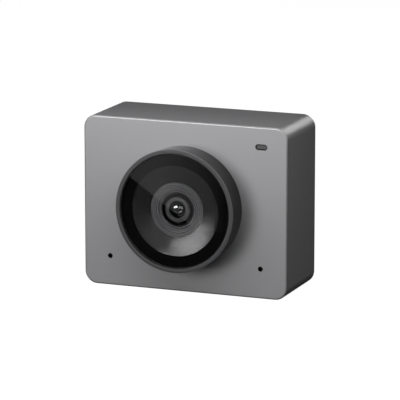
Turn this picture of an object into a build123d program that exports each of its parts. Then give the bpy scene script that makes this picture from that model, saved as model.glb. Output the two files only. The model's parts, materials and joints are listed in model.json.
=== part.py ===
from build123d import *
from math import cos, radians, sin
import os

os.makedirs("parts", exist_ok=True)

# A small box-shaped webcam that stands on a tripod or a monitor clip.
# Origin: the axis of the tripod thread where it meets the bottom face.
# +X is to the viewer's right, +Z is up, and the lens looks along -Y.
# A depth is measured backward from the front face, so the lens ring has negative depths.

# Body
body_width = 48.0
body_height = 38.3
body_depth = 18.2
corner_radius = 2.9
front_edge_chamfer = 0.4
rear_edge_chamfer = 0.3
wall = 1.2

# Fits
slip_gap = 0.05
fit_gap = 0.1
board_gap = 0.5

# Rear cover
cover_thickness = 1.5
cover_chamfer = 0.2
vent_count = 9
vent_width = 1.0
vent_length = 7.0
vent_pitch = 2.3
vent_drop = 10.8

# Corner posts and the four long screws that close the housing
corner_post_inset = 1.6
cover_foot_radius = 1.45
cover_screw_head = 1.2
cover_screw_head_height = 0.6
cover_screw_sink = 0.1
cover_screw_radius = 0.7
cover_screw_grip = 4.0
screw_hole_run_out = 0.3

# Lens ring, whose radii follow from the glass that it holds
lens_height = 19.4
ring_reach = 6.4
ring_rim = 0.95
glass_seat_width = 3.2
spigot_step = 0.3
spigot_shortfall = 0.1

# Cover glass and its black bonding ring
glass_radius = 12.7
glass_thickness = 0.8
glass_recess = 0.15
glue_thickness = 0.15
glue_width = 2.5

# Ridged hood
hood_flange_thickness = 0.7
hood_cone_fall = 1.07
hood_throat_radius = 3.7
hood_throat_length = 0.5
ridge_radius = 6.15
ridge_count = 5
ridge_height = 0.16
ridge_fall = 0.36

# Foam frame behind the hood
foam_side = 9.2
foam_opening = 8.0

# Inner frame that clamps the lens ring to the front wall
frame_margin = 1.3
frame_corner_cut = 5.0
frame_thickness = 1.2
frame_pad_height = 0.9
frame_pad_width = 3.4
frame_pad_length = 8.0

# Hidden screws and bores are eight-sided and the heads on the back twelve-sided, to keep them light
screw_sides = 8
head_sides = 12
side_turn = 22.5
ring_screw_angle = 60
ring_screw_head = 1.15
ring_screw_head_height = 0.6
ring_screw_radius = 0.6
ring_screw_grip = 2.2
board_screw_x = 9.2
board_screw_head = 1.1
board_screw_head_height = 0.5
board_screw_radius = 0.5
board_screw_grip = 1.3

# Focus actuator
actuator_side = 11.5
actuator_front = -2.2
can_thickness = 0.2
can_length = 4.4
can_hole_radius = 3.9
rim_strip = 0.6
carrier_headroom = 0.15
leaf_thickness = 0.06
leaf_hub_width = 0.65
leaf_arm_width = 0.5
magnet_thickness = 0.75
magnet_length = 6.0
carrier_wall = 0.45
carrier_length = 3.0
carrier_flange = 0.4
carrier_flange_thickness = 0.4
coil_thickness = 0.35
base_bore_clearance = 0.45
base_bore_depth = 0.75
window_ledge_depth = 0.25
focus_travel = 0.3

# Lens barrel and its glass stack
barrel_proud = 0.13
barrel_nose_radius = 2.82
barrel_nose_length = 0.9
barrel_radius = 3.3
barrel_lip = 0.3
front_lens_clear_radius = 2.02
lens_radius = 2.4
front_lens_thickness = 0.9
front_lens_bulge = 0.27
stop_thickness = 0.1
stop_radius = 1.2
middle_lens_thickness = 1.6
rear_lens_thickness = 1.7
retainer_length = 0.7
retainer_bore = 1.8
barrel_tail = 0.5

# Image sensor, infrared filter and their board
sensor_board_width = 22.0
sensor_board_height = 13.0
sensor_board_thickness = 0.6
sensor_width = 7.4
sensor_height = 5.6
sensor_thickness = 0.35
filter_width = 6.8
filter_height = 5.6
filter_thickness = 0.2
filter_ledge = 0.5
sensor_room = 0.5

# Microphones
mic_inset = 6.2
mic_height = 6.7
mic_hole_radius = 0.57
membrane_side = 3.0
membrane_thickness = 0.15
gasket_width = 4.4
gasket_height = 3.6
gasket_thickness = 0.85
mic_width = 3.8
mic_length = 2.9
mic_thickness = 1.0

# Indicator light
indicator_inset = 6.1
indicator_drop = 4.5
indicator_length = 2.8
indicator_width = 1.3
indicator_recess = 0.05
window_flange = 0.2
led_length = 1.6
led_width = 0.8
led_thickness = 0.6
led_gap = 0.1

# Boards and heat path
board_thickness = 0.8
main_board_thickness = 1.0
board_hole_side = 25.0
board_hole_corner = 4.0
pad_side = 3.0
pad_clearance = 0.8
pad_reach = 7.5
spreader_foot_height = 3.0
spreader_thickness = 1.0
cushion_height = 2.0
processor_side = 12.0
processor_thickness = 1.0
memory_width = 5.5
memory_length = 10.0
memory_thickness = 0.9
chip_spacing = 1.5
inductor_side = 4.0
inductor_height = 1.8
capacitor_length = 1.6
capacitor_width = 0.8
capacitor_height = 0.8
capacitor_columns = 6
capacitor_rows = 2

# Flexible cables and their connectors
flex_thickness = 0.12
flex_bend = 0.8
sensor_flex_width = 8.0
connector_width = 10.0
connector_height = 2.6
connector_thickness = 1.2
side_flex_width = 6.0
side_connector_thickness = 0.9
side_connector_width = 2.2

# Upright USB-C socket
usb_height = 11.5
usb_width = 8.94
usb_thickness = 3.26
usb_wall = 0.3
usb_recess = 0.3
usb_base_length = 1.2
usb_tongue_width = 6.69
usb_tongue_thickness = 0.7
usb_tongue_recess = 1.0

# Tripod socket, 1/4 inch
thread_radius = 2.6
thread_depth = 4.8
insert_radius = 3.95
insert_flange_side = 9.6
insert_flange_height = 1.0
insert_roof = 0.8
strap_length = 21.0
strap_thickness = 1.0
strap_screw_x = 8.0
strap_post_side = 3.4
strap_screw_grip = 1.5

# The faces that pieces share, from front to back
cavity_width = body_width - 2 * wall
cavity_height = body_height - 2 * wall
cavity_radius = corner_radius - wall
cavity_end = body_depth - cover_thickness
vent_height = body_height - vent_drop
glass_front = glass_recess - ring_reach
glass_back = glass_front + glass_thickness
hood_front = glass_back + glue_thickness
hood_seat = hood_front + hood_flange_thickness
ridge_front = hood_front + hood_cone_fall
throat_front = ridge_front + ridge_fall
hood_back = throat_front + hood_throat_length
spigot_end = wall - spigot_shortfall
frame_back = wall + frame_thickness
sensor_face = frame_back + frame_pad_height
sensor_board_back = sensor_face + sensor_board_thickness
mic_front = wall + membrane_thickness + gasket_thickness
board_seat = mic_front + mic_thickness
board_back = board_seat + board_thickness
spreader_front = board_back + spreader_foot_height
spreader_back = spreader_front + spreader_thickness
main_front = spreader_back + cushion_height
main_back = main_front + main_board_thickness
screw_seat = body_depth - cover_screw_sink - cover_screw_head_height
tripod_seat = wall + insert_flange_height
insert_top = thread_depth + insert_roof

# The faces that pieces share inside the actuator
can_face = actuator_front + can_thickness
can_back = actuator_front + can_length
can_inside = actuator_side - 2 * can_thickness
rim_side = can_inside - 2 * slip_gap
rim_opening = rim_side - 2 * rim_strip
spacer_height = focus_travel + carrier_headroom
front_leaf_depth = can_face + spacer_height
carrier_front = front_leaf_depth + leaf_thickness
carrier_back = carrier_front + carrier_length
base_front = carrier_back + leaf_thickness
bore_back = base_front + base_bore_depth
ledge_back = bore_back + window_ledge_depth
carrier_bore = barrel_radius + slip_gap
carrier_radius = carrier_bore + carrier_wall
hub_bore = carrier_bore + fit_gap

# The faces that pieces share inside the lens barrel
barrel_front = throat_front - barrel_proud
front_lens_front = barrel_front + barrel_lip
front_lens_back = front_lens_front + front_lens_thickness
middle_lens_front = front_lens_back + stop_thickness
middle_lens_back = middle_lens_front + middle_lens_thickness
rear_lens_front = middle_lens_back
rear_lens_back = rear_lens_front + rear_lens_thickness
barrel_back = rear_lens_back + retainer_length + barrel_tail

# The radii that pieces share round the lens axis
ring_radius = glass_radius + fit_gap + ring_rim
mask_radius = glass_radius - fit_gap - glue_width
ring_bore_radius = glass_radius - glass_seat_width
spigot_radius = glass_radius - spigot_step
ring_screw_circle = (ring_bore_radius + spigot_radius) / 2
frame_side = 2 * (spigot_radius + frame_margin)

# Where groups of like features stand, as seen from the front
mic_x = body_width / 2 - mic_inset
indicator_x = body_width / 2 - indicator_inset
indicator_height = body_height - indicator_drop
pad_x = frame_side / 2 + pad_clearance + pad_side / 2
corner_x = cavity_width / 2 - corner_post_inset
corner_low = wall + corner_post_inset
corner_high = body_height - corner_low
corner_points = [(x, z) for x in (-corner_x, corner_x) for z in (corner_low, corner_high)]
pad_heights = (lens_height - pad_reach, lens_height + pad_reach)
pad_points = [(x, z) for x in (-pad_x, pad_x) for z in pad_heights]
strap_points = [(-strap_screw_x, 0), (strap_screw_x, 0)]
sensor_screw_points = [(-board_screw_x, lens_height), (board_screw_x, lens_height)]
ring_screw_x = ring_screw_circle * cos(radians(ring_screw_angle))
ring_screw_z = ring_screw_circle * sin(radians(ring_screw_angle))

backward = (0, 1, 0)
lens_axis = Axis((0, 0, lens_height), (0, 1, 0))
lens_half = Plane(origin=(0, -body_depth / 2, lens_height), x_dir=(0, 1, 0), z_dir=(1, 0, 0))


def upright(depth):
    """The plane at this depth behind the front face, drawn as seen from the front."""
    return Plane.XZ.offset(body_depth / 2 - depth)


def from_behind(depth):
    """The plane at this depth behind the front face, drawn as seen from behind."""
    return Plane(origin=(0, depth - body_depth / 2, 0), x_dir=(-1, 0, 0), z_dir=(0, 1, 0))


def finish(piece, name):
    """Labels a finished piece and writes it to its file."""
    piece.part.label = name
    export_step(piece.part, f"parts/{name}.step")


def hidden_screw(head_radius, head_height, radius, length):
    """A small screw with its seat at the origin and its shank along -Z."""
    with BuildPart() as screw:
        with BuildSketch():
            RegularPolygon(head_radius, screw_sides)
        extrude(amount=head_height)
        with BuildSketch():
            RegularPolygon(radius, screw_sides)
        extrude(amount=-length)
    return screw.part


# Front housing, one aluminium shell that is open at the back
with BuildPart() as front_housing:
    with BuildSketch(upright(0)):
        with Locations((0, body_height / 2)):
            RectangleRounded(body_width, body_height, corner_radius)
    extrude(amount=body_depth, dir=backward)
    chamfer(front_housing.faces().sort_by(Axis.Y)[0].edges(), front_edge_chamfer)
    chamfer(front_housing.faces().sort_by(Axis.Y)[-1].edges(), rear_edge_chamfer)
    # The cavity, with a square post left standing in each corner as far as the main board
    with BuildSketch(upright(wall)):
        with Locations((0, body_height / 2)):
            RectangleRounded(cavity_width, cavity_height, cavity_radius)
            with GridLocations(cavity_width, cavity_height, 2, 2):
                Rectangle(4 * corner_post_inset, 4 * corner_post_inset, mode=Mode.SUBTRACT)
    extrude(amount=main_front - wall, dir=backward, mode=Mode.SUBTRACT)
    with BuildSketch(upright(main_front)):
        with Locations((0, body_height / 2)):
            RectangleRounded(cavity_width, cavity_height, cavity_radius)
    extrude(amount=body_depth - main_front, dir=backward, mode=Mode.SUBTRACT)
    # Pads that hold the front board, and posts for the strap of the tripod socket
    with BuildSketch(upright(wall)):
        with Locations(*pad_points):
            Rectangle(pad_side, pad_side)
    extrude(amount=board_seat - wall, dir=backward)
    with BuildSketch(Plane.XY.offset(wall)):
        with Locations(*strap_points):
            Rectangle(strap_post_side, strap_post_side)
    extrude(amount=insert_flange_height)
    # Openings in the front wall
    with BuildSketch(upright(0)):
        with Locations((0, lens_height)):
            Circle(spigot_radius + fit_gap)
        with Locations((-mic_x, mic_height), (mic_x, mic_height)):
            Circle(mic_hole_radius)
        with Locations((indicator_x, indicator_height)):
            SlotOverall(indicator_length, indicator_width)
    extrude(amount=wall, dir=backward, mode=Mode.SUBTRACT)
    # Tapped holes in the corner posts
    with BuildSketch(upright(main_front - cover_screw_grip - screw_hole_run_out)):
        with Locations(*corner_points):
            RegularPolygon(cover_screw_radius + slip_gap, screw_sides)
    extrude(amount=cover_screw_grip + screw_hole_run_out, dir=backward, mode=Mode.SUBTRACT)
    # Opening for the tripod socket, and tapped holes for its strap
    with BuildSketch(Plane.XY):
        Circle(insert_radius + fit_gap)
    extrude(amount=wall, mode=Mode.SUBTRACT)
    with BuildSketch(Plane.XY.offset(tripod_seat)):
        with Locations(*strap_points):
            RegularPolygon(board_screw_radius + slip_gap, screw_sides)
    extrude(amount=-strap_screw_grip - screw_hole_run_out, mode=Mode.SUBTRACT)
finish(front_housing, "front_housing")

# Rear cover, a plate let into the open back, with feet that press the main board onto its posts
with BuildPart() as rear_cover:
    with BuildSketch(upright(cavity_end)):
        with Locations((0, body_height / 2)):
            RectangleRounded(
                cavity_width - 2 * fit_gap, cavity_height - 2 * fit_gap, cavity_radius - fit_gap
            )
    extrude(amount=cover_thickness, dir=backward)
    chamfer(rear_cover.faces().sort_by(Axis.Y)[-1].edges(), cover_chamfer)
    with BuildSketch(upright(main_back)):
        with Locations(*corner_points):
            RegularPolygon(cover_foot_radius, screw_sides)
    extrude(amount=cavity_end - main_back, dir=backward)
    with BuildSketch(upright(cavity_end)):
        with Locations((0, usb_height)):
            SlotOverall(usb_width + 4 * fit_gap, usb_thickness + 4 * fit_gap)
        with Locations((0, vent_height)):
            with GridLocations(vent_pitch, 0, vent_count, 1):
                Rectangle(vent_width, vent_length)
    extrude(amount=cover_thickness, dir=backward, mode=Mode.SUBTRACT)
    with BuildSketch(upright(main_back)):
        with Locations(*corner_points):
            RegularPolygon(cover_screw_radius + fit_gap, screw_sides)
    extrude(amount=body_depth - main_back, dir=backward, mode=Mode.SUBTRACT)
    with BuildSketch(upright(screw_seat)):
        with Locations(*corner_points):
            RegularPolygon(cover_screw_head + slip_gap, head_sides)
    extrude(amount=body_depth - screw_seat, dir=backward, mode=Mode.SUBTRACT)
finish(rear_cover, "rear_cover")

# Sunk screws that pass through the cover and the main board into the corner posts
with BuildPart() as rear_cover_screws:
    with BuildSketch(upright(screw_seat)):
        with Locations(*corner_points):
            RegularPolygon(cover_screw_head, head_sides)
    extrude(amount=cover_screw_head_height, dir=backward)
    with BuildSketch(upright(main_front - cover_screw_grip)):
        with Locations(*corner_points):
            RegularPolygon(cover_screw_radius, screw_sides)
    extrude(amount=screw_seat - main_front + cover_screw_grip, dir=backward)
finish(rear_cover_screws, "rear_cover_screws")

# Lens ring, turned in one piece with the spigot that passes through the front wall
with BuildPart() as lens_ring:
    with BuildSketch(lens_half):
        with BuildLine():
            counterbore = glass_radius + fit_gap
            Polyline(
                (-ring_reach, counterbore),
                (-ring_reach, ring_radius),
                (0, ring_radius),
                (0, spigot_radius),
                (spigot_end, spigot_radius),
                (spigot_end, ring_bore_radius),
                (hood_seat, ring_bore_radius),
                (hood_seat, counterbore),
                close=True,
            )
        make_face()
    revolve(axis=lens_axis)
    with BuildSketch(upright(spigot_end - ring_screw_grip)):
        with Locations((0, lens_height)):
            with GridLocations(2 * ring_screw_x, 2 * ring_screw_z, 2, 2):
                RegularPolygon(ring_screw_radius + slip_gap, screw_sides)
    extrude(amount=ring_screw_grip, dir=backward, mode=Mode.SUBTRACT)
finish(lens_ring, "lens_ring")

# Cover glass
with BuildPart() as cover_glass:
    with BuildSketch(upright(glass_front)):
        with Locations((0, lens_height)):
            Circle(glass_radius)
    extrude(amount=glass_thickness, dir=backward)
finish(cover_glass, "cover_glass")

# Black ring that bonds the glass to the hood and hides its edge
with BuildPart() as glass_adhesive_ring:
    with BuildSketch(upright(glass_back)):
        with Locations((0, lens_height)):
            Circle(glass_radius - fit_gap)
            Circle(mask_radius, mode=Mode.SUBTRACT)
    extrude(amount=glue_thickness, dir=backward)
finish(glass_adhesive_ring, "glass_adhesive_ring")

# Lens hood, a dished disc with sharp concentric ridges that trap stray light
ridge_pitch = (ridge_radius - hood_throat_radius) / ridge_count
ridge_line = []
for ridge in range(ridge_count):
    crest_radius = ridge_radius - ridge * ridge_pitch
    crest_depth = ridge_front + ridge_fall * ridge / ridge_count
    ridge_line.append((crest_depth, crest_radius))
    ridge_line.append((crest_depth + ridge_height, crest_radius - ridge_pitch / 3))
with BuildPart() as lens_hood:
    with BuildSketch(lens_half):
        with BuildLine():
            Polyline(
                (hood_seat, glass_radius),
                (hood_front, glass_radius),
                (hood_front, mask_radius),
                *ridge_line,
                (throat_front, hood_throat_radius),
                (hood_back, hood_throat_radius),
                (hood_back, ring_bore_radius - fit_gap),
                (hood_seat, ring_bore_radius - fit_gap),
                close=True,
            )
        make_face()
    revolve(axis=lens_axis)
finish(lens_hood, "lens_hood")

# Foam frame that keeps dust and stray light out between the hood and the actuator
with BuildPart() as module_foam:
    with BuildSketch(upright(hood_back)):
        with Locations((0, lens_height)):
            Rectangle(foam_side, foam_side)
            Rectangle(foam_opening, foam_opening, mode=Mode.SUBTRACT)
    extrude(amount=actuator_front - hood_back, dir=backward)
finish(module_foam, "module_foam")

# Inner frame, which clamps the lens ring to the front wall and carries the camera module
with BuildPart() as inner_frame:
    with BuildSketch(upright(wall)):
        with Locations((0, lens_height)):
            outline = Rectangle(frame_side, frame_side)
            chamfer(outline.vertices(), frame_corner_cut)
    extrude(amount=frame_thickness, dir=backward)
    with BuildSketch(upright(frame_back)):
        with Locations(*sensor_screw_points):
            Rectangle(frame_pad_width, frame_pad_length)
    extrude(amount=frame_pad_height, dir=backward)
    with BuildSketch(upright(wall)):
        with Locations((0, lens_height)):
            Rectangle(actuator_side + 4 * fit_gap, actuator_side + 4 * fit_gap)
            with GridLocations(2 * ring_screw_x, 2 * ring_screw_z, 2, 2):
                RegularPolygon(ring_screw_radius + fit_gap, screw_sides)
    extrude(amount=frame_thickness, dir=backward, mode=Mode.SUBTRACT)
    with BuildSketch(upright(sensor_face)):
        with Locations(*sensor_screw_points):
            RegularPolygon(board_screw_radius + slip_gap, screw_sides)
    extrude(amount=-board_screw_grip - screw_hole_run_out, dir=backward, mode=Mode.SUBTRACT)
finish(inner_frame, "inner_frame")

# Screws that pull the lens ring against the frame
ring_screw = hidden_screw(
    ring_screw_head,
    ring_screw_head_height,
    ring_screw_radius,
    frame_thickness + ring_screw_grip - screw_hole_run_out,
)
with BuildPart(from_behind(frame_back)) as lens_ring_screws:
    with Locations((0, lens_height)):
        with GridLocations(2 * ring_screw_x, 2 * ring_screw_z, 2, 2):
            add(ring_screw)
finish(lens_ring_screws, "lens_ring_screws")

# Actuator cover, a drawn steel can that also closes the magnet circuit
with BuildPart() as actuator_cover:
    with BuildSketch(upright(actuator_front)):
        with Locations((0, lens_height)):
            Rectangle(actuator_side, actuator_side)
            RegularPolygon(can_hole_radius, screw_sides, False, side_turn, mode=Mode.SUBTRACT)
    extrude(amount=can_thickness, dir=backward)
    with BuildSketch(upright(can_face)):
        with Locations((0, lens_height)):
            Rectangle(actuator_side, actuator_side)
            Rectangle(can_inside, can_inside, mode=Mode.SUBTRACT)
    extrude(amount=can_length - can_thickness, dir=backward)
finish(actuator_cover, "actuator_cover")

# Plastic frame that holds the front leaf spring off the can
with BuildPart() as spring_spacer:
    with BuildSketch(upright(can_face)):
        with Locations((0, lens_height)):
            Rectangle(rim_side, rim_side)
            Rectangle(rim_opening, rim_opening, mode=Mode.SUBTRACT)
    extrude(amount=spacer_height, dir=backward)
finish(spring_spacer, "spring_spacer")

# Leaf springs: a square rim, a hub and four thin arms, which carry the lens carrier
for leaf_name, leaf_depth in (("front", front_leaf_depth), ("rear", carrier_back)):
    with BuildPart() as leaf_spring:
        with BuildSketch(upright(leaf_depth)):
            with Locations((0, lens_height)):
                Rectangle(rim_side, rim_side)
                Rectangle(rim_opening, rim_opening, mode=Mode.SUBTRACT)
                for arm_angle in (45, 135):
                    Rectangle(rim_opening * 2**0.5, leaf_arm_width, rotation=arm_angle)
                RegularPolygon(hub_bore + leaf_hub_width, screw_sides, False, side_turn)
                RegularPolygon(hub_bore, screw_sides, False, side_turn, mode=Mode.SUBTRACT)
        extrude(amount=leaf_thickness, dir=backward)
    finish(leaf_spring, f"{leaf_name}_leaf_spring")

# Four flat magnets against the inside of the can
with BuildPart() as actuator_magnets:
    with BuildSketch(upright(carrier_front)):
        with Locations((0, lens_height)):
            with PolarLocations((rim_side - magnet_thickness) / 2, 4):
                Rectangle(magnet_thickness, magnet_length)
    extrude(amount=carrier_length, dir=backward)
finish(actuator_magnets, "actuator_magnets")

# Lens carrier, an eight-sided bobbin with a flange that the coil stands on
with BuildPart() as lens_carrier:
    with BuildSketch(upright(carrier_front)):
        with Locations((0, lens_height)):
            RegularPolygon(carrier_radius, screw_sides, major_radius=False, rotation=side_turn)
    extrude(amount=carrier_length, dir=backward)
    with BuildSketch(upright(carrier_back)):
        with Locations((0, lens_height)):
            flange_radius = carrier_radius + carrier_flange
            RegularPolygon(flange_radius, screw_sides, major_radius=False, rotation=side_turn)
    extrude(amount=-carrier_flange_thickness, dir=backward)
    with BuildSketch(upright(carrier_front)):
        with Locations((0, lens_height)):
            Circle(carrier_bore)
    extrude(amount=carrier_length, dir=backward, mode=Mode.SUBTRACT)
finish(lens_carrier, "lens_carrier")

# Focus coil, wound round the carrier
with BuildPart() as focus_coil:
    with BuildSketch(upright(carrier_back - carrier_flange_thickness)):
        with Locations((0, lens_height)):
            coil_radius = carrier_radius + coil_thickness
            winding_bore = carrier_radius + slip_gap / 2
            RegularPolygon(coil_radius, screw_sides, major_radius=False, rotation=side_turn)
            RegularPolygon(
                winding_bore, screw_sides, major_radius=False, rotation=side_turn, mode=Mode.SUBTRACT
            )
    extrude(amount=-(carrier_length - 2 * carrier_flange_thickness), dir=backward)
finish(focus_coil, "focus_coil")

# Actuator base, with the window in front of the sensor
with BuildPart() as actuator_base:
    with BuildSketch(upright(base_front)):
        with Locations((0, lens_height)):
            Rectangle(rim_side, rim_side)
    extrude(amount=can_back - base_front, dir=backward)
    with BuildSketch(upright(can_back)):
        with Locations((0, lens_height)):
            Rectangle(actuator_side, actuator_side)
    extrude(amount=sensor_face - can_back, dir=backward)
    with BuildSketch(upright(base_front)):
        with Locations((0, lens_height)):
            bore_radius = barrel_radius + base_bore_clearance
            RegularPolygon(bore_radius, screw_sides, False, side_turn)
    extrude(amount=base_bore_depth, dir=backward, mode=Mode.SUBTRACT)
    with BuildSketch(upright(bore_back)):
        with Locations((0, lens_height)):
            Rectangle(filter_width - 2 * filter_ledge, filter_height - 2 * filter_ledge)
    extrude(amount=window_ledge_depth, dir=backward, mode=Mode.SUBTRACT)
    with BuildSketch(upright(ledge_back)):
        with Locations((0, lens_height)):
            Rectangle(sensor_width + 2 * sensor_room, sensor_height + 2 * sensor_room)
    extrude(amount=sensor_face - ledge_back, dir=backward, mode=Mode.SUBTRACT)
finish(actuator_base, "actuator_base")

# Infrared filter, glued to the ledge of the window
with BuildPart() as infrared_filter:
    with BuildSketch(upright(ledge_back)):
        with Locations((0, lens_height)):
            Rectangle(filter_width, filter_height)
    extrude(amount=filter_thickness, dir=backward)
finish(infrared_filter, "infrared_filter")

# Image sensor
with BuildPart() as image_sensor:
    with BuildSketch(upright(sensor_face)):
        with Locations((0, lens_height)):
            Rectangle(sensor_width, sensor_height)
    extrude(amount=-sensor_thickness, dir=backward)
finish(image_sensor, "image_sensor")

# Sensor board and its two screws
with BuildPart() as sensor_board:
    with BuildSketch(upright(sensor_face)):
        with Locations((0, lens_height)):
            Rectangle(sensor_board_width, sensor_board_height)
        with Locations(*sensor_screw_points):
            RegularPolygon(board_screw_radius + fit_gap, screw_sides, mode=Mode.SUBTRACT)
    extrude(amount=sensor_board_thickness, dir=backward)
finish(sensor_board, "sensor_board")
sensor_screw = hidden_screw(
    board_screw_head,
    board_screw_head_height,
    board_screw_radius,
    sensor_board_thickness + board_screw_grip,
)
with BuildPart(from_behind(sensor_board_back)) as sensor_board_screws:
    with Locations(*sensor_screw_points):
        add(sensor_screw)
finish(sensor_board_screws, "sensor_board_screws")

# Lens barrel, with a narrow nose that stands in the throat of the hood
with BuildPart() as lens_barrel:
    with BuildSketch(lens_half):
        with BuildLine():
            Polyline(
                (barrel_front, front_lens_clear_radius),
                (barrel_front, barrel_nose_radius),
                (barrel_front + barrel_nose_length, barrel_nose_radius),
                (barrel_front + barrel_nose_length, barrel_radius),
                (barrel_back, barrel_radius),
                (barrel_back, lens_radius + slip_gap),
                (front_lens_front, lens_radius + slip_gap),
                (front_lens_front, front_lens_clear_radius),
                close=True,
            )
        make_face()
    revolve(axis=lens_axis)
finish(lens_barrel, "lens_barrel")

# Front lens, domed, with a flat flange behind the lip of the barrel
with BuildPart() as front_lens:
    with BuildSketch(lens_half):
        with BuildLine():
            front_middle = (front_lens_front - front_lens_bulge, 0)
            front_rim = (front_lens_front, front_lens_clear_radius - slip_gap)
            TangentArc(front_middle, front_rim, tangent=(0, 1))
            Polyline(
                front_rim,
                (front_lens_front, lens_radius),
                (front_lens_back, lens_radius),
                (front_lens_back, 0),
                front_middle,
            )
        make_face()
    revolve(axis=lens_axis)
finish(front_lens, "front_lens")

# Aperture stop, a thin black washer
with BuildPart() as aperture_stop:
    with BuildSketch(upright(front_lens_back)):
        with Locations((0, lens_height)):
            RegularPolygon(lens_radius, screw_sides)
            Circle(stop_radius, mode=Mode.SUBTRACT)
    extrude(amount=stop_thickness, dir=backward)
finish(aperture_stop, "aperture_stop")

# Hidden lenses behind the stop, left as plain discs
with BuildPart() as middle_lens:
    with BuildSketch(upright(middle_lens_front)):
        with Locations((0, lens_height)):
            Circle(lens_radius)
    extrude(amount=middle_lens_thickness, dir=backward)
finish(middle_lens, "middle_lens")
with BuildPart() as rear_lens:
    with BuildSketch(upright(rear_lens_front)):
        with Locations((0, lens_height)):
            Circle(lens_radius)
    extrude(amount=rear_lens_thickness, dir=backward)
finish(rear_lens, "rear_lens")

# Threaded ring that holds the lenses in from behind
with BuildPart() as lens_retainer:
    with BuildSketch(upright(rear_lens_back)):
        with Locations((0, lens_height)):
            RegularPolygon(lens_radius, screw_sides)
            RegularPolygon(retainer_bore, screw_sides, mode=Mode.SUBTRACT)
    extrude(amount=retainer_length, dir=backward)
finish(lens_retainer, "lens_retainer")

# Microphones, each behind a membrane and a rubber gasket that seals it to its hole
for side, side_x in (("left", -mic_x), ("right", mic_x)):
    with BuildPart() as mic_membrane:
        with BuildSketch(upright(wall)):
            with Locations((side_x, mic_height)):
                Rectangle(membrane_side, membrane_side)
        extrude(amount=membrane_thickness, dir=backward)
    finish(mic_membrane, f"{side}_mic_membrane")
    with BuildPart() as mic_gasket:
        with BuildSketch(upright(wall + membrane_thickness)):
            with Locations((side_x, mic_height)):
                Rectangle(gasket_width, gasket_height)
                RegularPolygon(mic_hole_radius, screw_sides, mode=Mode.SUBTRACT)
        extrude(amount=gasket_thickness, dir=backward)
    finish(mic_gasket, f"{side}_mic_gasket")
    with BuildPart() as microphone:
        with BuildSketch(upright(mic_front)):
            with Locations((side_x, mic_height)):
                Rectangle(mic_width, mic_length)
        extrude(amount=mic_thickness, dir=backward)
    finish(microphone, f"{side}_microphone")

# Indicator window, a light guide that fills the slot in the front wall, and the lamp behind it
led_front = board_seat - led_thickness
with BuildPart() as indicator_window:
    with BuildSketch(upright(indicator_recess)):
        with Locations((indicator_x, indicator_height)):
            SlotOverall(indicator_length - 2 * slip_gap, indicator_width - 2 * slip_gap)
    extrude(amount=wall - indicator_recess, dir=backward)
    with BuildSketch(upright(wall)):
        with Locations((indicator_x, indicator_height)):
            flange_size = (indicator_length + 2 * window_flange, indicator_width + 2 * window_flange)
            Rectangle(*flange_size)
    extrude(amount=led_front - led_gap - wall, dir=backward)
finish(indicator_window, "indicator_window")
with BuildPart() as indicator_led:
    with BuildSketch(upright(led_front)):
        with Locations((indicator_x, indicator_height)):
            Rectangle(led_length, led_width)
    extrude(amount=led_thickness, dir=backward)
finish(indicator_led, "indicator_led")

# Front board, a ring round the camera module that carries the microphones and the lamp
board_width = cavity_width - board_gap
board_top = body_height - wall - board_gap
board_notch = 4 * corner_post_inset + 2 * board_gap
front_board_low = tripod_seat + strap_thickness + board_gap
with BuildPart() as front_board:
    with BuildSketch(upright(board_seat)):
        with Locations((0, (board_top + front_board_low) / 2)):
            Rectangle(board_width, board_top - front_board_low)
        with Locations((0, body_height / 2)):
            with GridLocations(cavity_width, cavity_height, 2, 2):
                Rectangle(board_notch, board_notch, mode=Mode.SUBTRACT)
    extrude(amount=board_thickness, dir=backward)
    with BuildSketch(upright(board_seat)):
        with Locations((0, lens_height)):
            opening = Rectangle(board_hole_side, board_hole_side)
            chamfer(opening.vertices(), board_hole_corner)
    extrude(amount=board_thickness, dir=backward, mode=Mode.SUBTRACT)
finish(front_board, "front_board")

# Main board, which lies on the corner posts and is notched over the tripod socket
main_board_low = wall + board_gap
with BuildPart() as main_board:
    with BuildSketch(upright(main_front)):
        with Locations((0, (board_top + main_board_low) / 2)):
            plate = Rectangle(board_width, board_top - main_board_low)
            chamfer(plate.vertices(), cavity_radius)
        Rectangle(
            strap_length + 2 * board_gap, 2 * (insert_top + board_gap), mode=Mode.SUBTRACT
        )
        with Locations(*corner_points):
            RegularPolygon(cover_screw_radius + fit_gap, screw_sides, mode=Mode.SUBTRACT)
    extrude(amount=main_board_thickness, dir=backward)
finish(main_board, "main_board")

# Heat spreader, an aluminium plate whose four feet hold the front board on its pads
with BuildPart() as heat_spreader:
    with BuildSketch(upright(spreader_front)):
        with Locations((0, lens_height)):
            Rectangle(2 * pad_x + pad_side, 2 * pad_reach + pad_side)
    extrude(amount=spreader_thickness, dir=backward)
    with BuildSketch(upright(board_back)):
        with Locations(*pad_points):
            Rectangle(pad_side, pad_side)
    extrude(amount=spreader_foot_height, dir=backward)
finish(heat_spreader, "heat_spreader")

# Silicone cushions between the spreader and the main board
with BuildPart() as board_cushions:
    with BuildSketch(upright(spreader_back)):
        with Locations(*pad_points):
            Rectangle(pad_side, pad_side)
    extrude(amount=cushion_height, dir=backward)
finish(board_cushions, "board_cushions")

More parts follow.
